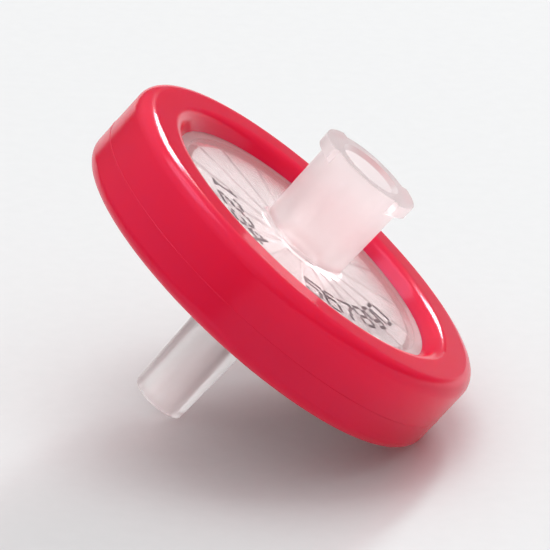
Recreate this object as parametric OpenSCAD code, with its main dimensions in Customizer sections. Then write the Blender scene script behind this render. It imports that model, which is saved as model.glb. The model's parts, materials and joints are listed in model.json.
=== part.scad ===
// Syringe filter, 25 mm membrane class: a red sealing ring moulded round two translucent
// housing halves that clamp a membrane disc between them.
// Each module is drawn on the filter's own axis, inlet up, with the membrane at height zero.
// as_it_lies() then rolls and leans the whole filter, to rest on the ring and the outlet tip.

/* [Membrane] */
// Diameter of the membrane disc, which sets the filter's size class
membrane_d = 25; // [20:0.5:33]
// Thickness of the membrane disc
membrane_t = 0.2; // [0.1:0.05:0.4]
// Width of the membrane's edge that the two housings clamp
clamp_w = 2.8; // [2:0.1:4]

/* [Ring] */
// Thickness of the ring's wall outside the housings
ring_wall = 1.75; // [1.2:0.05:4]
// Height of the sealing ring along the filter's axis
ring_h = 6.2; // [5.6:0.1:8.5]
// Radius of the ring's two outer edges
ring_edge_r = 1; // [0.3:0.1:1.5]
// How far the ring's two lips stand proud of the window faces
lip_h = 1.1; // [0.6:0.1:1.6]
// How far each lip slopes outwards from the window to its flat face
lip_slope = 0.75; // [0.3:0.05:1.4]
// Rounding where a lip's slope meets its flat face
lip_edge_r = 1; // [0.1:0.05:1.1]
// Height of the parting line bead above the ring's lower face
parting_h = 2.55; // [2:0.05:4]
// How far the parting line bead stands out
parting_proud = 0.03; // [0.02:0.01:0.08]

// How far each lip laps in over the housing flanges
flange_grip = 2.3; // [1.6:0.1:2.8]
// How far the housing flanges reach out beyond the membrane
flange_rim = 0.75; // [0.4:0.05:1.5]

/* [Flow chambers] */
// Depth of the inlet chamber
inlet_chamber_h = 0.9; // [0.5:0.1:1.1]
// Depth of the outlet chamber
outlet_chamber_h = 0.6; // [0.4:0.1:1]
// How far the inlet chamber's wall leans out towards the membrane
chamber_draft = 0.5; // [0.2:0.1:0.8]
// Number of radial ribs in the inlet chamber
rib_count = 16; // [8:1:24]
// Width of each radial rib
rib_w = 0.45; // [0.3:0.05:0.7]
// Number of concentric ridges that carry the membrane on the outlet side
ridge_count = 4; // [2:1:5]
// Width of each ridge
ridge_w = 0.7; // [0.4:0.05:0.9]
// Number of radial drains cut through the ridges
drain_count = 8; // [4:1:12]
// Width of each drain
drain_w = 0.9; // [0.5:0.1:1.2]

/* [Luer lock inlet] */
// Height of the inlet rim above the ring's upper face
inlet_h = 6; // [5:0.1:9]
// Outer diameter of the inlet at its root
inlet_root_d = 6.5; // [6.2:0.05:6.9]
// Outer diameter of the inlet just under its rim
inlet_rim_d = 6.75; // [6.4:0.05:7]
// Diameter of the 6 % luer socket where it opens
socket_d = 4.29; // [4.27:0.01:4.31]
// Wall left between the socket's floor and the inlet chamber
socket_floor_t = 0.7; // [0.4:0.05:1.5]
// Chamfer at the socket's mouth
socket_chamfer = 0.3; // [0.1:0.05:0.4]
// Diameter of the hole from the socket into the inlet chamber
inlet_hole_d = 2.4; // [1.5:0.1:3]
// How far the two locking lugs stand out from the rim
lug_reach = 0.5; // [0.3:0.025:0.9]
// Thickness of a lug at its outer face
lug_t = 0.9; // [0.6:0.05:1.2]
// Angle that each lug spans
lug_arc = 84; // [50:1:100]
// Angle at which the first lug is centred
lug_angle = -11.25; // [-90:0.25:90]

/* [Luer slip outlet] */
// Length of the outlet below the ring's lower face
outlet_h = 10; // [8:0.1:14]
// Outer diameter of the 6 % luer taper at its tip
tip_d = 4; // [3.93:0.01:4.05]
// Rounding of the tip's outer edge
tip_edge_r = 0.2; // [0.1:0.05:0.3]
// Diameter of the bore through the outlet
outlet_bore_d = 2.1; // [1.5:0.1:2.4]

/* [Fillets] */
// Fillet where the inlet and the outlet meet their housings
root_fillet_r = 0.45; // [0.2:0.05:0.8]
// Clearance between pieces that seat on each other
seat = 0.02; // [0:0.01:0.05]

/* [Rest] */
// Angle that the filter has rolled to about its own axis, which turns everything on it
roll = 0.6; // [-180:0.1:180]

/* [Hidden] */

$fn = 128;
// Diameter of a luer taper changes by this share of its length.
luer_taper = 0.06;
// Radius lost by a standard taper over a given length
function taper(length) = luer_taper * length / 2;

membrane_r = membrane_d / 2;
membrane_z = membrane_t / 2;
cavity_r = membrane_r + flange_rim;
ring_r = cavity_r + ring_wall;
window_r = cavity_r - flange_grip;
window_z = ring_h / 2 - lip_h;
flange_r = cavity_r - seat;
flange_z = window_z - seat;
chamber_r = membrane_r - clamp_w;
chamber_roof_z = membrane_z + inlet_chamber_h;
chamber_floor_z = -membrane_z - outlet_chamber_h;
rim_z = ring_h / 2 + inlet_h;
socket_floor_z = chamber_roof_z + socket_floor_t;
socket_depth = rim_z - socket_floor_z;
lug_r = inlet_rim_d / 2 + lug_reach;
tip_z = -ring_h / 2 - outlet_h;
tip_r = tip_d / 2;
outlet_root_r = tip_r + taper(-flange_z - tip_z);
outlet_bore_r = outlet_bore_d / 2;
inlet_hole_r = inlet_hole_d / 2;
// Ribs and ridges start clear of the hole that feeds them.
rib_start_r = inlet_hole_r + 1;
ridge_pitch = (chamber_r - outlet_bore_r) / (ridge_count + 0.5);
// Both cuts run this far past the faces they open.
past = 1;

// The filter leans until one straight line touches the ring's lower edge and the tip's edge.
ring_edge = [ring_r - ring_edge_r, -ring_h / 2 + ring_edge_r];
tip_edge = [tip_r - tip_edge_r, tip_z + tip_edge_r];
edge_span = ring_edge - tip_edge;
lean = atan2(edge_span.y, edge_span.x) + asin((tip_edge_r - ring_edge_r) / norm(edge_span));
rest_z = ring_edge.x * sin(lean) - ring_edge.y * cos(lean) + ring_edge_r;

module as_it_lies() {
    translate([0, 0, rest_z]) rotate([0, lean, 0]) rotate(roll) children();
}

// Square cap with a rounded corner, for the section of a moulded edge: it fills x to [0, w] and
// y to [0, h], with the corner at [w, h] rounded.
module rounded_corner(w, h, r) {
    square([w - r, h]);
    square([w, h - r]);
    translate([w - r, h - r]) circle(r);
}

// Concave fillet that fills the corner between two walls that meet at the origin
module root_fillet(r) {
    difference() {
        square(r);
        translate([r, r]) circle(r);
    }
}

// Upper half of the ring's section, from the cavity's middle to the flat face
module ring_half_section() {
    top = ring_h / 2;
    slope = [lip_slope, lip_h] / norm([lip_slope, lip_h]);
    // The rounding touches the flat face and the slope this far from their sharp corner.
    reach = lip_edge_r * tan((90 - atan2(lip_slope, lip_h)) / 2);
    corner = [window_r + lip_slope, top];
    middle = corner + [reach, -lip_edge_r];
    difference() {
        union() {
            difference() {
                rounded_corner(ring_r, top, ring_edge_r);
                polygon([
                    [0, 0],
                    [window_r, 0],
                    [window_r, window_z],
                    corner - reach * slope,
                    middle,
                    [middle.x, top],
                    [corner.x, top + past],
                    [0, top + past],
                ]);
            }
            translate(middle) circle(lip_edge_r);
        }
        square([cavity_r, window_z]);
    }
}

module sealing_ring() {
    color("crimson") as_it_lies() {
        rotate_extrude() {
            ring_half_section();
            mirror([0, 1]) ring_half_section();
            translate([ring_r, parting_h - ring_h / 2]) circle(parting_proud, $fn = 24);
        }
    }
}

// Flat ear on the inlet's rim that a luer lock collar draws on: its underside slopes.
module lug() {
    rotate_extrude(angle = lug_arc) {
        polygon([
            [inlet_rim_d / 2 - lug_reach, rim_z],
            [lug_r, rim_z],
            [lug_r, rim_z - lug_t],
            [inlet_rim_d / 2 - lug_reach, rim_z - lug_t - lug_reach],
        ]);
    }
}

module inlet_housing() {
    color("mistyrose") as_it_lies() {
        difference() {
            union() {
                rotate_extrude() {
                    translate([0, membrane_z + seat]) square([flange_r, flange_z - membrane_z - seat]);
                    polygon([
                        [0, chamber_roof_z],
                        [inlet_root_d / 2, flange_z],
                        [inlet_rim_d / 2, rim_z],
                        [0, rim_z],
                    ]);
                    translate([inlet_root_d / 2, flange_z]) root_fillet(root_fillet_r);
                }
                for (side = [0, 180]) rotate(side + lug_angle - lug_arc / 2) lug();
            }
            rotate_extrude() {
                polygon([
                    [0, rim_z + past],
                    [socket_d / 2 + socket_chamfer + past, rim_z + past],
                    [socket_d / 2 + socket_chamfer, rim_z],
                    [socket_d / 2 - taper(socket_chamfer), rim_z - socket_chamfer],
                    [socket_d / 2 - taper(socket_depth), socket_floor_z],
                    [0, socket_floor_z],
                ]);
                polygon([
                    [0, membrane_z],
                    [chamber_r + chamber_draft, membrane_z],
                    [chamber_r, chamber_roof_z],
                    [0, chamber_roof_z],
                ]);
                square([inlet_hole_r, socket_floor_z + past / 2]);
            }
        }
        for (i = [0 : rib_count - 1]) rotate(i * 360 / rib_count) radial_rib();
    }
}

// One rib from near the inlet hole to the chamber's wall, from the roof down to the membrane
module radial_rib() {
    translate([rib_start_r, -rib_w / 2, membrane_z + seat]) {
        cube([chamber_r + chamber_draft - rib_start_r, rib_w, inlet_chamber_h]);
    }
}

module outlet_housing() {
    color("mistyrose") as_it_lies() {
        difference() {
            rotate_extrude() {
                translate([0, -flange_z]) square([flange_r, flange_z + membrane_z]);
                polygon([
                    [0, tip_z],
                    [tip_r - tip_edge_r, tip_z],
                    [tip_r, tip_z + tip_edge_r],
                    [outlet_root_r, -flange_z],
                    [0, chamber_floor_z],
                ]);
                translate(tip_edge) circle(tip_edge_r);
                translate([outlet_root_r, -flange_z]) mirror([0, 1]) root_fillet(root_fillet_r);
            }
            translate([0, 0, -membrane_z - seat]) cylinder(r = membrane_r + seat, h = membrane_t + past);
            translate([0, 0, chamber_floor_z]) cylinder(r = chamber_r, h = outlet_chamber_h + past);
            translate([0, 0, tip_z - past]) cylinder(r = outlet_bore_r, h = -tip_z);
        }
        difference() {
            for (i = [1 : ridge_count]) support_ridge(outlet_bore_r + i * ridge_pitch);
            for (i = [0 : drain_count - 1]) rotate(i * 360 / drain_count) radial_drain();
        }
    }
}

// One ring-shaped ridge under the membrane, on the chamber's floor
module support_ridge(r) {
    rotate_extrude() {
        translate([r - ridge_w / 2, chamber_floor_z]) square([ridge_w, outlet_chamber_h - seat]);
    }
}

// The gap that lets the filtrate cross the ridges on its way to the bore
module radial_drain() {
    translate([0, -drain_w / 2, chamber_floor_z]) cube([chamber_r, drain_w, outlet_chamber_h + past]);
}

module membrane() {
    color("white") as_it_lies() {
        cylinder(r = membrane_r, h = membrane_t, center = true);
    }
}

sealing_ring();
inlet_housing();
outlet_housing();
membrane();
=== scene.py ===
import json
import math

import bmesh
import bpy
from mathutils import Matrix, Vector


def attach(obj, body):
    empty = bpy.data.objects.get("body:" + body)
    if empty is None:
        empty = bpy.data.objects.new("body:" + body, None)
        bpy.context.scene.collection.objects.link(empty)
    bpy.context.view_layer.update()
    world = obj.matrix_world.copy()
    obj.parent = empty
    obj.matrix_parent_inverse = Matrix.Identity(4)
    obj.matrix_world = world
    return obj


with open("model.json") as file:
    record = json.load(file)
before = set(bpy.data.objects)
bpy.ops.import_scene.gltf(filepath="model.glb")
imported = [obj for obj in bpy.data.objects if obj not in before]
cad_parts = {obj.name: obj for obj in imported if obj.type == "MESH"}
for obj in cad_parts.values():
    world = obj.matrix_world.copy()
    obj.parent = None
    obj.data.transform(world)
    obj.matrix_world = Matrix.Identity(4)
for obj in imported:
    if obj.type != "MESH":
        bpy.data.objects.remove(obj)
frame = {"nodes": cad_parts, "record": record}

bpy.context.view_layer.update()

MM = 0.001
MOUNTS = {mount["name"]: mount for mount in frame["record"]["mounts"]}

# The filter's own frame: Z points out of the inlet, and the origin is the middle of the ring.
AXIS = Vector(MOUNTS["luer_inlet"]["axis"]).normalized()
ACROSS = Vector((0, 1, 0))
CENTRE = Vector(MOUNTS["ring_wall"]["pos_m"])
TURN = Matrix((ACROSS.cross(AXIS), ACROSS, AXIS)).transposed().to_4x4()
FILTER = Matrix.Translation(CENTRE) @ TURN
RING_R = MOUNTS["ring_wall"]["dims"]["r_mm"] * MM

# The Mix node has sockets for every kind of value, so the ones in use are picked by number.
MIX_NUMBERS = (2, 3)
MIX_NUMBER_OUT = 0
MIX_COLORS = (6, 7)
MIX_COLOR_OUT = 2


# ---------------------------------------------------------------- camera and placing

def towards(azimuth, elevation):
    """A direction from the filter, in degrees: azimuth 0 is on the camera's side, 90 on the right."""
    a = math.radians(azimuth)
    e = math.radians(elevation)
    return Vector((math.sin(a) * math.cos(e), -math.cos(a) * math.cos(e), math.sin(e)))


def place_facing(thing, target, away, distance, roll=0.0):
    """Adds a camera or lamp at a distance from its target, facing it, rolled by so many degrees."""
    facing = (-away).to_track_quat("-Z", "Y")
    thing.rotation_mode = "QUATERNION"
    thing.rotation_quaternion = facing @ Matrix.Rotation(math.radians(roll), 3, "Z").to_quaternion()
    thing.location = target + away * distance
    bpy.context.scene.collection.objects.link(thing)


def add_camera():
    """A long lens at the photograph's viewing angle, turned a little about its own line of sight."""
    data = bpy.data.cameras.new("camera")
    data.sensor_width = 36
    data.lens = 300
    data.clip_start = 0.01
    data.clip_end = 20
    camera = bpy.data.objects.new("camera", data)
    target = CENTRE + Vector((-0.5 * MM, 0, -0.8 * MM))
    place_facing(camera, target, towards(azimuth=-1.68, elevation=20.67), distance=0.313, roll=2.56)
    bpy.context.scene.camera = camera


# ---------------------------------------------------------------- node helpers

def set_inputs(tree, node, inputs):
    """Sets each input to its value, or links it if another node's socket is given."""
    for key, value in inputs.items():
        if isinstance(value, bpy.types.NodeSocket):
            tree.links.new(value, node.inputs[key])
        else:
            node.inputs[key].default_value = value


def add_node(tree, kind, inputs=None, **settings):
    """A node with its settings and inputs."""
    node = tree.nodes.new("ShaderNode" + kind)
    for key, value in settings.items():
        setattr(node, key, value)
    set_inputs(tree, node, inputs or {})
    return node


def show(tree, shader):
    """Joins a shader node to the material's output."""
    output = next(node for node in tree.nodes if node.type == "OUTPUT_MATERIAL")
    tree.links.new(shader.outputs[0], output.inputs["Surface"])


def new_material(name):
    """An empty node material that shows a Principled shader."""
    material = bpy.data.materials.new(name)
    material.use_nodes = True
    tree = material.node_tree
    tree.nodes.clear()
    add_node(tree, "OutputMaterial")
    shader = add_node(tree, "BsdfPrincipled")
    show(tree, shader)
    return material, tree, shader


def filter_coordinates(tree):
    """Position in the filter's own frame, in metres."""
    position = add_node(tree, "TexCoord").outputs["Object"]
    inputs = {"Vector": position, "Location": CENTRE, "Rotation": FILTER.to_euler()}
    return add_node(tree, "Mapping", inputs, vector_type="TEXTURE").outputs[0]


def noise(tree, vector, size_mm, detail=2.0):
    """Soft noise whose blobs are about size_mm across."""
    scale = 1 / (size_mm * MM)
    return add_node(tree, "TexNoise", {"Vector": vector, "Scale": scale, "Detail": detail}).outputs[0]


def ramp(tree, factor, low, high, low_at=0.0, high_at=1.0):
    """A number from low to high, as factor goes from low_at to high_at."""
    return add_node(
        tree, "MapRange",
        {"Value": factor, "From Min": low_at, "From Max": high_at, "To Min": low, "To Max": high},
    ).outputs[0]


def shade(tree, factor, first, second):
    """A colour from first to second, as factor goes from 0 to 1."""
    mix = add_node(tree, "Mix", {0: factor}, data_type="RGBA")
    for socket, color in zip(MIX_COLORS, (first, second)):
        mix.inputs[socket].default_value = (*color, 1)
    return mix.outputs[MIX_COLOR_OUT]


def combine(tree, operation, first, second):
    """Two numbers joined by a Math operation."""
    return add_node(tree, "Math", {0: first, 1: second}, operation=operation).outputs[0]


def bump(tree, height, distance_mm):
    """A normal for a surface that rises by distance_mm as height goes from 0 to 1."""
    inputs = {"Height": height, "Distance": distance_mm * MM, "Strength": 1.0}
    return add_node(tree, "Bump", inputs).outputs[0]


def mix_shaders(tree, first, second, share):
    """Two shader nodes mixed, with a share of the second."""
    return add_node(tree, "MixShader", {0: share, 1: first.outputs[0], 2: second.outputs[0]})


def light_through(tree, shader, tint):
    """Lets lamps shine through with a tint, as they do through a translucent moulding."""
    passing = add_node(tree, "BsdfTransparent", {"Color": (*tint, 1)})
    shadow_ray = add_node(tree, "LightPath").outputs["Is Shadow Ray"]
    return mix_shaders(tree, shader, passing, share=shadow_ray)


# ---------------------------------------------------------------- materials

def ring_plastic():
    """Glossy red plastic that light soaks into, so that it glows where a lamp is behind it."""
    material, tree, shader = new_material("ring_plastic")
    at = filter_coordinates(tree)
    cloud = noise(tree, at, size_mm=6)
    smear = noise(tree, at, size_mm=1.5)
    ripple = noise(tree, at, size_mm=1.2)
    set_inputs(tree, shader, {
        "Base Color": shade(tree, cloud, (0.73, 0.011, 0.056), (0.79, 0.014, 0.066)),
        "Roughness": ramp(tree, smear, 0.13, 0.19),
        "Normal": bump(tree, ripple, distance_mm=0.002),
        "IOR": 1.45,
        "Specular IOR Level": 0.5,
        "Specular Tint": (1, 0.5, 0.85, 1),
        "Subsurface Weight": 0.8,
        "Subsurface Radius": (1.0, 0.12, 0.16),
        "Subsurface Scale": 2.2 * MM,
    })
    glow = add_node(tree, "BsdfTranslucent", {"Color": (0.95, 0.04, 0.12, 1)})
    body = mix_shaders(tree, shader, glow, share=0.2)
    show(tree, light_through(tree, body, tint=(0.48, 0.07, 0.14)))
    return material


def inlet_milk(tree, at):
    """Share of milky scatter: low in the window, higher up the inlet and in the window's thick rim."""
    window = 0.2
    inlet = 0.38
    rim = 0.35
    inlet_from, inlet_to = 2.0 * MM, 2.8 * MM
    rim_from, rim_to = 0.655 * RING_R, 0.69 * RING_R
    place = add_node(tree, "SeparateXYZ", {0: at})
    flat = add_node(tree, "CombineXYZ", {0: place.outputs["X"], 1: place.outputs["Y"]})
    radius = add_node(tree, "VectorMath", {0: flat.outputs[0]}, operation="LENGTH").outputs["Value"]
    by_height = ramp(tree, place.outputs["Z"], window, inlet, low_at=inlet_from, high_at=inlet_to)
    by_radius = ramp(tree, radius, 0.0, rim, low_at=rim_from, high_at=rim_to)
    return combine(tree, "MAXIMUM", by_height, by_radius)


def outlet_milk(tree, at):
    """Share of milky scatter: low in the window, higher down the outlet."""
    window = 0.16
    outlet = 0.27
    outlet_from, outlet_to = -2.0 * MM, -2.8 * MM
    height = add_node(tree, "SeparateXYZ", {0: at}).outputs["Z"]
    return ramp(tree, height, outlet, window, low_at=outlet_to, high_at=outlet_from)


def housing_plastic(name, milk, roughness, tint, haze):
    """Natural polypropylene: clear with a tint, and hazy by the share that milk works out."""
    material, tree, clear = new_material(name)
    at = filter_coordinates(tree)
    smear = noise(tree, at, size_mm=2)
    ripple = noise(tree, at, size_mm=0.5)
    normal = bump(tree, ripple, distance_mm=0.002)
    set_inputs(tree, clear, {
        "Base Color": (*tint, 1),
        "Roughness": ramp(tree, smear, *roughness),
        "Normal": normal,
        "Transmission Weight": 1.0,
        "IOR": 1.49,
        "Specular IOR Level": 0.3,
    })
    forward = add_node(tree, "BsdfTranslucent", {"Color": (*haze, 1), "Normal": normal})
    backward = add_node(tree, "BsdfDiffuse", {"Color": (*haze, 1), "Normal": normal})
    milky = mix_shaders(tree, forward, backward, share=0.4)
    body = mix_shaders(tree, clear, milky, share=milk(tree, at))
    show(tree, light_through(tree, body, tint=(0.88, 0.82, 0.82)))
    return material


def membrane_film():
    """Matt white filter paper of fine fibres, thin enough to let light through."""
    material, tree, shader = new_material("membrane_film")
    at = filter_coordinates(tree)
    tone = noise(tree, at, size_mm=0.2, detail=4.0)
    fibres = noise(tree, at, size_mm=0.1, detail=4.0)
    set_inputs(tree, shader, {
        "Base Color": shade(tree, tone, (0.62, 0.56, 0.56), (0.68, 0.62, 0.62)),
        "Normal": bump(tree, fibres, distance_mm=0.01),
        "Roughness": 0.9,
    })
    through = add_node(tree, "BsdfTranslucent", {"Color": (0.66, 0.60, 0.60, 1)})
    show(tree, mix_shaders(tree, shader, through, share=0.45))
    return material


def print_ink():
    """Near-black ink that has taken unevenly."""
    material, tree, shader = new_material("print_ink")
    at = filter_coordinates(tree)
    patches = noise(tree, at, size_mm=0.6, detail=3.0)
    thin = ramp(tree, patches, 0, 1, low_at=0.4, high_at=0.65)
    grain = noise(tree, at, size_mm=0.2)
    set_inputs(tree, shader, {
        "Base Color": shade(tree, thin, (0.05, 0.02, 0.03), (0.15, 0.08, 0.09)),
        "Roughness": ramp(tree, grain, 0.35, 0.6),
    })
    return material


def floor_card():
    """Pale matt card with a faint grain."""
    material, tree, shader = new_material("floor_card")
    at = add_node(tree, "TexCoord").outputs["Object"]
    grain = noise(tree, at, size_mm=1.2, detail=3.0)
    set_inputs(tree, shader, {
        "Base Color": shade(tree, grain, (0.62, 0.625, 0.63), (0.65, 0.655, 0.66)),
        "Roughness": 0.8,
        "Specular IOR Level": 0.2,
    })
    return material


def assign(node, material):
    """Gives a CAD node its material."""
    for slot in frame["nodes"][node].material_slots:
        slot.material = material


# ---------------------------------------------------------------- print on the window

# Plain digits as an ink-jet head prints them, five dots wide and seven high, row by row from the top
DOTS = {
    "0": "01110 10001 10001 10001 10001 10001 01110",
    "1": "00100 01100 00100 00100 00100 00100 01110",
    "2": "01110 10001 00001 00110 01000 10000 11111",
    "3": "01110 10001 00001 00110 00001 10001 01110",
    "4": "00010 00110 01010 10010 11111 00010 00010",
    "5": "11111 10000 11110 00001 00001 10001 01110",
    "6": "01110 10000 11110 10001 10001 10001 01110",
    "7": "11111 00001 00010 00100 00100 01000 01000",
    "8": "01110 10001 10001 01110 10001 10001 01110",
    "9": "01110 10001 10001 10001 01111 00001 01110",
}
MIDDLE_COLUMN = 2
MIDDLE_ROW = 3


def window_height():
    """Height of the flat window above the ring's middle, along the filter's axis."""
    past_inlet = 0.5 * RING_R
    inward = FILTER.inverted()
    points = [inward @ vertex.co for vertex in frame["nodes"]["inlet_housing"].data.vertices]
    return max(point.z for point in points if point.xy.length > past_inlet)


def add_dot(mesh, x, y, low, radius, thickness):
    """One flat spot of ink."""
    sides = 8
    turns = [2 * math.pi * i / sides for i in range(sides)]
    bottom, top = [
        [mesh.verts.new((x + radius * math.cos(t), y + radius * math.sin(t), z)) for t in turns]
        for z in (low, low + thickness)
    ]
    mesh.faces.new(top)
    mesh.faces.new(reversed(bottom))
    for i in range(sides):
        j = (i + 1) % sides
        mesh.faces.new((bottom[i], bottom[j], top[j], top[i]))


def dot_places(digit, angle, middle_r, pitch):
    """Where a digit's dots lie on the window, with the digit's feet away from the inlet."""
    outward = Vector((math.cos(angle), math.sin(angle)))
    inward = -outward
    along = Vector((inward.y, -inward.x))
    for row, line in enumerate(DOTS[digit].split()):
        for column, bit in enumerate(line):
            if bit == "1":
                sideways = along * pitch * (column - MIDDLE_COLUMN)
                yield outward * middle_r + sideways + inward * pitch * (MIDDLE_ROW - row)


def add_print():
    """Digits in an arc round the inlet."""
    text = "1234  567890"
    start = math.radians(186)
    advance = math.radians(14)
    middle_r = 7.15 * MM
    pitch = 0.31 * MM
    dot_r = 0.19 * MM
    thickness = 0.01 * MM
    clearance = 0.003 * MM
    low = window_height() + clearance
    shape = bmesh.new()
    for place, digit in enumerate(text):
        if digit == " ":
            continue
        for spot in dot_places(digit, start + advance * (place + 0.5), middle_r, pitch):
            add_dot(shape, spot.x, spot.y, low, dot_r, thickness)
    mesh = bpy.data.meshes.new("printed_digits")
    shape.to_mesh(mesh)
    shape.free()
    mesh.transform(FILTER)
    mesh.materials.append(print_ink())
    piece = bpy.data.objects.new("printed_digits", mesh)
    bpy.context.scene.collection.objects.link(piece)
    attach(piece, "root")


# ---------------------------------------------------------------- stage and light

def add_floor():
    """A wide flat floor under the filter."""
    half = 3.0
    corners = [(-half, -half, 0), (half, -half, 0), (half, half, 0), (-half, half, 0)]
    mesh = bpy.data.meshes.new("floor")
    mesh.from_pydata(corners, [], [(0, 1, 2, 3)])
    mesh.materials.append(floor_card())
    floor = bpy.data.objects.new("floor", mesh)
    bpy.context.scene.collection.objects.link(floor)


def add_world():
    """A studio dome, dark at the horizon and bright overhead, that looks evenly pale behind things."""
    horizon = 0.04
    overhead = 1.12
    overhead_from = 0.9
    darker_side = 0.5
    brighter_side = 1.5
    front_left = Vector((-0.7, -0.5, 0))
    seen_level = 0.9
    world = bpy.data.worlds.new("studio")
    bpy.context.scene.world = world
    world.use_nodes = True
    tree = world.node_tree
    direction = add_node(tree, "TexCoord").outputs["Generated"]
    height = add_node(tree, "SeparateXYZ", {0: direction}).outputs["Z"]
    side = add_node(
        tree, "VectorMath", {0: direction, 1: front_left}, operation="DOT_PRODUCT"
    ).outputs["Value"]
    by_height = ramp(tree, height, horizon, overhead, low_at=0.0, high_at=overhead_from)
    by_side = ramp(tree, side, darker_side, brighter_side, low_at=-1, high_at=1)
    dome = combine(tree, "MULTIPLY", by_height, by_side)
    # Glossy rays see the dome too, because the pale level washes out the ring's red.
    path = add_node(tree, "LightPath").outputs
    seen = combine(tree, "MAXIMUM", path["Is Camera Ray"], path["Is Transmission Ray"])
    lighting_in, seen_in = MIX_NUMBERS
    level = add_node(tree, "Mix", {0: seen, lighting_in: dome, seen_in: seen_level}, data_type="FLOAT")
    set_inputs(tree, tree.nodes["Background"], {
        "Strength": level.outputs[MIX_NUMBER_OUT],
        "Color": (1, 1, 1, 1),
    })


def add_lamp(name, azimuth, elevation, distance, width, height, power):
    """A soft rectangular lamp that faces the filter."""
    data = bpy.data.lights.new(name, "AREA")
    data.shape = "RECTANGLE"
    data.size = width
    data.size_y = height
    data.energy = power
    lamp = bpy.data.objects.new(name, data)
    place_facing(lamp, CENTRE, towards(azimuth, elevation), distance)


add_camera()
assign("sealing_ring", ring_plastic())
assign("inlet_housing", housing_plastic(
    "inlet_plastic", inlet_milk,
    roughness=(0.2, 0.28), tint=(0.98, 0.96, 0.96), haze=(0.86, 0.80, 0.805),
))
assign("outlet_housing", housing_plastic(
    "outlet_plastic", outlet_milk,
    roughness=(0.06, 0.1), tint=(1.0, 0.995, 0.995), haze=(1.0, 0.975, 0.975),
))
assign("membrane", membrane_film())
add_print()
add_floor()
add_world()
add_lamp("overhead", azimuth=195, elevation=82, distance=1.2, width=0.7, height=0.7, power=4.7)
add_lamp("back", azimuth=159.5, elevation=30, distance=2.4, width=0.3, height=1.2, power=30.0)
bpy.context.scene.view_settings.view_transform = "Standard"
